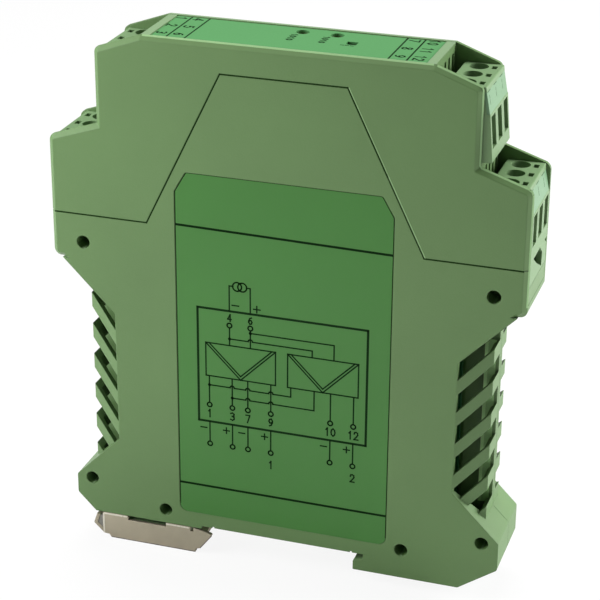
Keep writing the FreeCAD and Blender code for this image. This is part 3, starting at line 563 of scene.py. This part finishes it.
# Painted shade along the lower and slanted edges of the cheek
shade_marks = [[(cheek_end + 2.1, cheek_foot + 0.1), (cheek_end + 21.4, cheek_foot + 0.1)],
              [(cheek_end + 22.6, cheek_foot + 1.2), (cheek_end + 25.2, cheek_foot + 4.6)]]
for name, strokes, width, finish in (("latch_bright_folds", glint_marks, 0.34, glint_metal),
                                     ("latch_painted_edge_shade", shade_marks, 0.16, edge_shade_metal)):
    piece = printed(name, strokes, width, cheek_face, face_right, face_up, 0.01)
    piece.data.materials.append(finish)
    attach(piece, "foot_latch")

# Clamps: slotted screws of zinc-plated steel, rolled and milled, in cages of nickel-plated brass that sit
# in the terminal mouldings. The flat contact pins behind them are stamped from the same brass.

ends = ("upper_left", "upper_right", "lower_left", "lower_right")
screw_steel = plated_material("screw_zinc_plate", (0.50, 0.50, 0.47), (0.36, 0.36, 0.34), 900.0, 0.25)
clamp_brass = plated_material("clamp_nickel_plate", (0.62, 0.58, 0.46), (0.48, 0.45, 0.36), 700.0, 0.22)
for end in ends:
    for number in (1, 2, 3):
        dress(screw_steel, "screw_" + end + "_" + str(number))
        dress(clamp_brass, "clamp_" + end + "_" + str(number))
    dress(clamp_brass, "contact_pins_" + end)

# Terminal blocks: four plug-in mouldings of the same polyamide as the housing, a shade lighter and cleaner.
# They are pushed on the contact pins from both ends of the housing.

terminal_plastic = moulded_material("terminal_polyamide", (0.140, 0.243, 0.105), clouds=0.12, grain=0.3)
dress(terminal_plastic, *["terminal_block_" + end for end in ends])

# Marker strips: paler polyamide, printed with a dash at the top edge over each clamp and a thin upright
# line beside it, and clipped in over the slots of a terminal.

strip_plastic = moulded_material("marker_strip_polyamide", (0.134, 0.264, 0.134), clouds=0.10, grain=0.15,
                                 roughness=0.35)
dress(strip_plastic, *["marker_strip_" + end for end in ends])

mark_ink = moulded_material("strip_mark_ink", (0.035, 0.085, 0.040), clouds=0.1, grain=0.0, roughness=0.6,
                            specular=0.1)
clamp_pitch = 5.08
mark_shift = 0.8
strip_lean = 0.8
dash_half = 1.1
ink_film = 0.012
for end in ends:
    side = 1 if end.endswith("right") else -1
    low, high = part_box("marker_strip_" + end)
    strip_height = (high.z - low.z) / MM
    dash_up = strip_height / 2 - 0.08
    middle_x = (high.x if side > 0 else low.x) - side * strip_lean / 2 * MM
    marks = []
    for place in (-clamp_pitch, 0, clamp_pitch):
        middle = side * (place - mark_shift)
        marks.append([(middle - dash_half, dash_up), (middle + dash_half, dash_up)])
        marks.append([(middle, -0.5), (middle, 0.35)])
        marks.append([(middle, 0.65), (middle, 1.2)])
    piece = printed("strip_marks_" + end, marks, 0.16, (middle_x, 0, (low.z + high.z) / 2),
                    (0, side, 0), (-side * strip_lean, 0, strip_height), ink_film)
    piece.data.materials.append(mark_ink)
    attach(piece, "housing")

# Side label: a polyester film in deeper green, screen printed with the wiring of the two channels and
# stuck in the recess of the front shell.

label_film = moulded_material("side_label_film", (0.036, 0.165, 0.020), clouds=0.18, grain=0.06,
                              roughness=0.33, specular=0.45)
dress(label_film, "wiring_label")
label_low, label_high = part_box("wiring_label")
label_face = (0, label_low.y, 0)
ink = moulded_material("printing_ink", (0.007, 0.024, 0.007), clouds=0.1, grain=0.0, roughness=0.7,
                       specular=0.04)


def circle(a, b, radius, steps=18):
    """Closed ring of strokes round (a, b)."""
    turns = [2 * math.pi * i / steps for i in range(steps + 1)]
    return [(a + radius * math.cos(turn), b + radius * math.sin(turn)) for turn in turns]


def rectangle(left, low, right, top):
    """Closed oblong of strokes."""
    return [(left, low), (right, low), (right, top), (left, top), (left, low)]


def hop(a, b, radius=0.45, steps=8):
    """Small arch where one printed wire jumps over another."""
    turns = [math.pi * i / steps for i in range(steps + 1)]
    return [(a - radius * math.cos(turn), b + radius * math.sin(turn)) for turn in turns]


def wire_over(a_start, a_end, b, crossings):
    """Level printed wire that hops over the wires it crosses."""
    run = [(a_start, b)]
    for crossing in crossings:
        run += hop(crossing, b)
    return run + [(a_end, b)]


figures = {
    "0": [[(0.5, 1), (0.15, 0.8), (0.05, 0.5), (0.15, 0.2), (0.5, 0), (0.85, 0.2), (0.95, 0.5),
           (0.85, 0.8), (0.5, 1)]],
    "1": [[(0.25, 0.78), (0.55, 1), (0.55, 0)]],
    "2": [[(0.08, 0.75), (0.2, 0.95), (0.5, 1), (0.85, 0.9), (0.9, 0.65), (0.6, 0.38), (0.05, 0),
           (0.95, 0)]],
    "3": [[(0.1, 0.9), (0.5, 1), (0.88, 0.85), (0.85, 0.62), (0.45, 0.53)],
          [(0.45, 0.53), (0.9, 0.4), (0.9, 0.15), (0.5, 0), (0.08, 0.1)]],
    "4": [[(0.7, 0), (0.7, 1), (0.05, 0.3), (0.95, 0.3)]],
    "5": [[(0.88, 1), (0.2, 1), (0.12, 0.55), (0.55, 0.63), (0.92, 0.42), (0.85, 0.12), (0.5, 0),
           (0.08, 0.1)]],
    "6": [[(0.8, 0.95), (0.4, 0.85), (0.12, 0.5), (0.1, 0.25), (0.4, 0), (0.8, 0.08), (0.92, 0.32),
           (0.7, 0.55), (0.35, 0.55), (0.12, 0.35)]],
    "7": [[(0.05, 1), (0.95, 1), (0.4, 0)]],
    "8": [[(0.5, 0.53), (0.15, 0.68), (0.2, 0.92), (0.5, 1), (0.8, 0.92), (0.85, 0.68), (0.5, 0.53),
           (0.1, 0.32), (0.15, 0.08), (0.5, 0), (0.85, 0.08), (0.9, 0.32), (0.5, 0.53)]],
    "9": [[(0.88, 0.65), (0.65, 0.45), (0.3, 0.45), (0.08, 0.68), (0.2, 0.92), (0.6, 1), (0.9, 0.75),
           (0.88, 0.5), (0.6, 0.15), (0.2, 0.05)]],
    "+": [[(0.0, 0.5), (1.0, 0.5)], [(0.5, 0.0), (0.5, 1.0)]],
    "-": [[(0.0, 0.5), (1.0, 0.5)]],
}


def figure_strokes(text, a, b, height, width=None, spacing=1.35):
    """Strokes of a short number or sign, centred on (a, b)."""
    width = width or height * 0.55
    pitch = width * spacing
    start = a - (pitch * (len(text) - 1) + width) / 2
    strokes = []
    for i, sign in enumerate(text):
        for stroke in figures[sign]:
            strokes.append([(start + i * pitch + u * width, b - height / 2 + v * height) for u, v in stroke])
    return strokes


# Two converters in a frame, each a box with a doubled V
frame_left, frame_low, frame_right, frame_top = -18.2, 25.6, 18.0, 51.4
converter_low, converter_top = 36.2, 43.7
frame_lines = [rectangle(frame_left, frame_low, frame_right, frame_top)]
wires = []
for left, right in ((-16.5, -1.4), (1.2, 16.2)):
    middle = (left + right) / 2
    wires.append(rectangle(left, converter_low, right, converter_top))
    wires.append([(left, converter_top), (middle, converter_low), (right, converter_top)])
    wires.append([(left + 0.75, converter_top), (middle, converter_low + 0.8), (right - 0.75, converter_top)])

# Supply above the frame: two linked rings, with a wire from each to its pin and on to both converters
pad = 0.5
supply_up, supply_pad = 57.0, 48.2
supply_minus, supply_plus = -11.3, -6.8
feed_minus, feed_plus = 45.2, 47.1
wires += [circle(-9.6, supply_up, 0.95), circle(-8.5, supply_up, 0.95)]
wires += [[(-10.5, supply_up), (supply_minus, supply_up), (supply_minus, frame_top)],
          [(-7.6, supply_up), (supply_plus, supply_up), (supply_plus, frame_top)]]
for across in (supply_minus, supply_plus):
    wires += [circle(across, supply_pad, pad), [(across, supply_pad - pad), (across, converter_top)]]
wires += [wire_over(supply_minus, 6.4, feed_minus, [supply_plus]) + [(6.4, converter_top)],
          [(supply_plus, feed_plus), (11.0, feed_plus), (11.0, converter_top)]]

# Six signal pins inside and outside the frame, with two wires that tie the second converter to the first
pins = (-15.8, -10.8, -7.4, -2.4, 10.4, 15.3)
inner_pad, outer_pad = 29.5, 20.4
tie_high, tie_low = 34.1, 31.8
for across in pins:
    wires += [[(across, converter_low), (across, inner_pad + pad)], circle(across, inner_pad, pad)]
    wires += [[(across, frame_low), (across, outer_pad + pad)], circle(across, outer_pad, pad)]
wires += [wire_over(pins[0], 1.9, tie_high, pins[1:4]) + [(1.9, converter_low)],
          wire_over(pins[1], 6.9, tie_low, pins[2:4]) + [(6.9, converter_low)]]
for across, up in ((supply_minus, feed_minus), (supply_plus, feed_plus), (pins[0], tie_high),
                   (pins[1], tie_low)):
    wires.append(circle(across, up, 0.16, 8))

# Pin numbers and signs
for text, across in zip(("1", "3", "7", "9", "10", "12"), pins):
    wires += figure_strokes(text, across, 27.5, 1.7)
for text, across in zip("-+-+-+", pins):
    wires += figure_strokes(text, across - 1.35, 24.0, 1.3, 1.3)
wires += figure_strokes("4", supply_minus, 49.9, 1.5) + figure_strokes("6", supply_plus, 49.9, 1.5)
wires += figure_strokes("-", -10.0, 52.8, 1.4, 1.4) + figure_strokes("+", -5.4, 52.6, 1.4, 1.4)
wires += figure_strokes("1", pins[3], 17.6, 1.7) + figure_strokes("2", pins[5], 17.6, 1.7)

# Lines across the film near its ends, and the shade in the narrow gap round the film
border_ink = moulded_material("label_border_ink", (0.005, 0.018, 0.005), clouds=0.1, grain=0.0,
                              roughness=0.7, specular=0.02)
border_lines = [[(-22.5, 68.9), (22.4, 68.2)], [(-22.5, 10.1), (22.4, 10.0)]]
rim_inset = 0.06
rim_x, rim_z = label_high.x / MM - rim_inset, label_high.z / MM - rim_inset
rim_low = 4.9
chamfer_across, chamfer_up = 2.45, 4.2
gap_lines = [[(-rim_x, rim_low), (-rim_x, rim_z - chamfer_up), (-rim_x + chamfer_across, rim_z),
              (rim_x - chamfer_across, rim_z), (rim_x, rim_z - chamfer_up), (rim_x, rim_low)]]
for name, strokes, width, lift, finish in (("wiring_frame_print", frame_lines, 0.50, 0.015, ink),
                                           ("wiring_print", wires, 0.30, 0.015, ink),
                                           ("label_border_print", border_lines, 0.50, ink_film, border_ink),
                                           ("label_gap_shade", gap_lines, 0.17, ink_film, seam_shade)):
    piece = printed(name, strokes, width, label_face, face_right, face_up, lift)
    piece.data.materials.append(finish)
    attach(piece, "housing")

# Top label: brighter polyester film, stuck between the rims of the hood's roof and flush with them. It is
# printed with the terminal numbers at both ends and a short mark beside each adjuster.

top_film = moulded_material("top_label_film", (0.075, 0.240, 0.082), clouds=0.08, grain=0.05,
                            roughness=0.55, specular=0.15)
film_rise = 0.3 * MM
sheet_low, sheet_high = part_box("top_label")
film_top = sheet_high.z + film_rise
top_sheet = solids["top_label"].data.copy()
top_sheet.name = "top_label_film"
for corner in top_sheet.vertices:
    if corner.co.z > (sheet_low.z + sheet_high.z) / 2:
        corner.co.z += film_rise
top_sheet.materials.clear()
top_sheet.materials.append(top_film)
top_piece = bpy.data.objects.new("top_label_film", top_sheet)
scene.collection.objects.link(top_piece)
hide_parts("top_label")
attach(top_piece, "housing")

rule_half = 7.4
rules = [[(along, -rule_half), (along, rule_half)] for along in (-24.55, -20.8, 20.1, 23.65)]
number_rows = (6.2, 0.8, -4.6)
numbers = []
for along, texts in ((-26.4, ("1", "2", "3")), (-22.8, ("4", "5", "6")), (21.75, ("7", "8", "9")),
                     (25.6, ("10", "11", "12"))):
    for text, across in zip(texts, number_rows):
        numbers += figure_strokes(text, -across, along, 2.0, 1.3)
caption_pitch, dash_pitch = 1.15, 0.95
captions = []
for along, start in ((-1.4, 2.5), (5.05, 2.8)):
    for i, text in enumerate("1010"):
        captions += figure_strokes(text, i * caption_pitch - start, along, 1.15, 0.75)
for i in range(3):
    captions.append([(1.15, 9.1 + i * dash_pitch), (1.15, 9.6 + i * dash_pitch)])

film_face = (0, 0, film_top)
for name, strokes, width, right, up in (("top_line_print", rules, 0.34, (1, 0, 0), (0, 1, 0)),
                                        ("top_number_print", numbers, 0.34, (0, -1, 0), (1, 0, 0)),
                                        ("top_caption_print", captions, 0.30, (0, -1, 0), (1, 0, 0))):
    piece = printed(name, strokes, width, film_face, right, up, ink_film)
    piece.data.materials.append(ink)
    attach(piece, "housing")
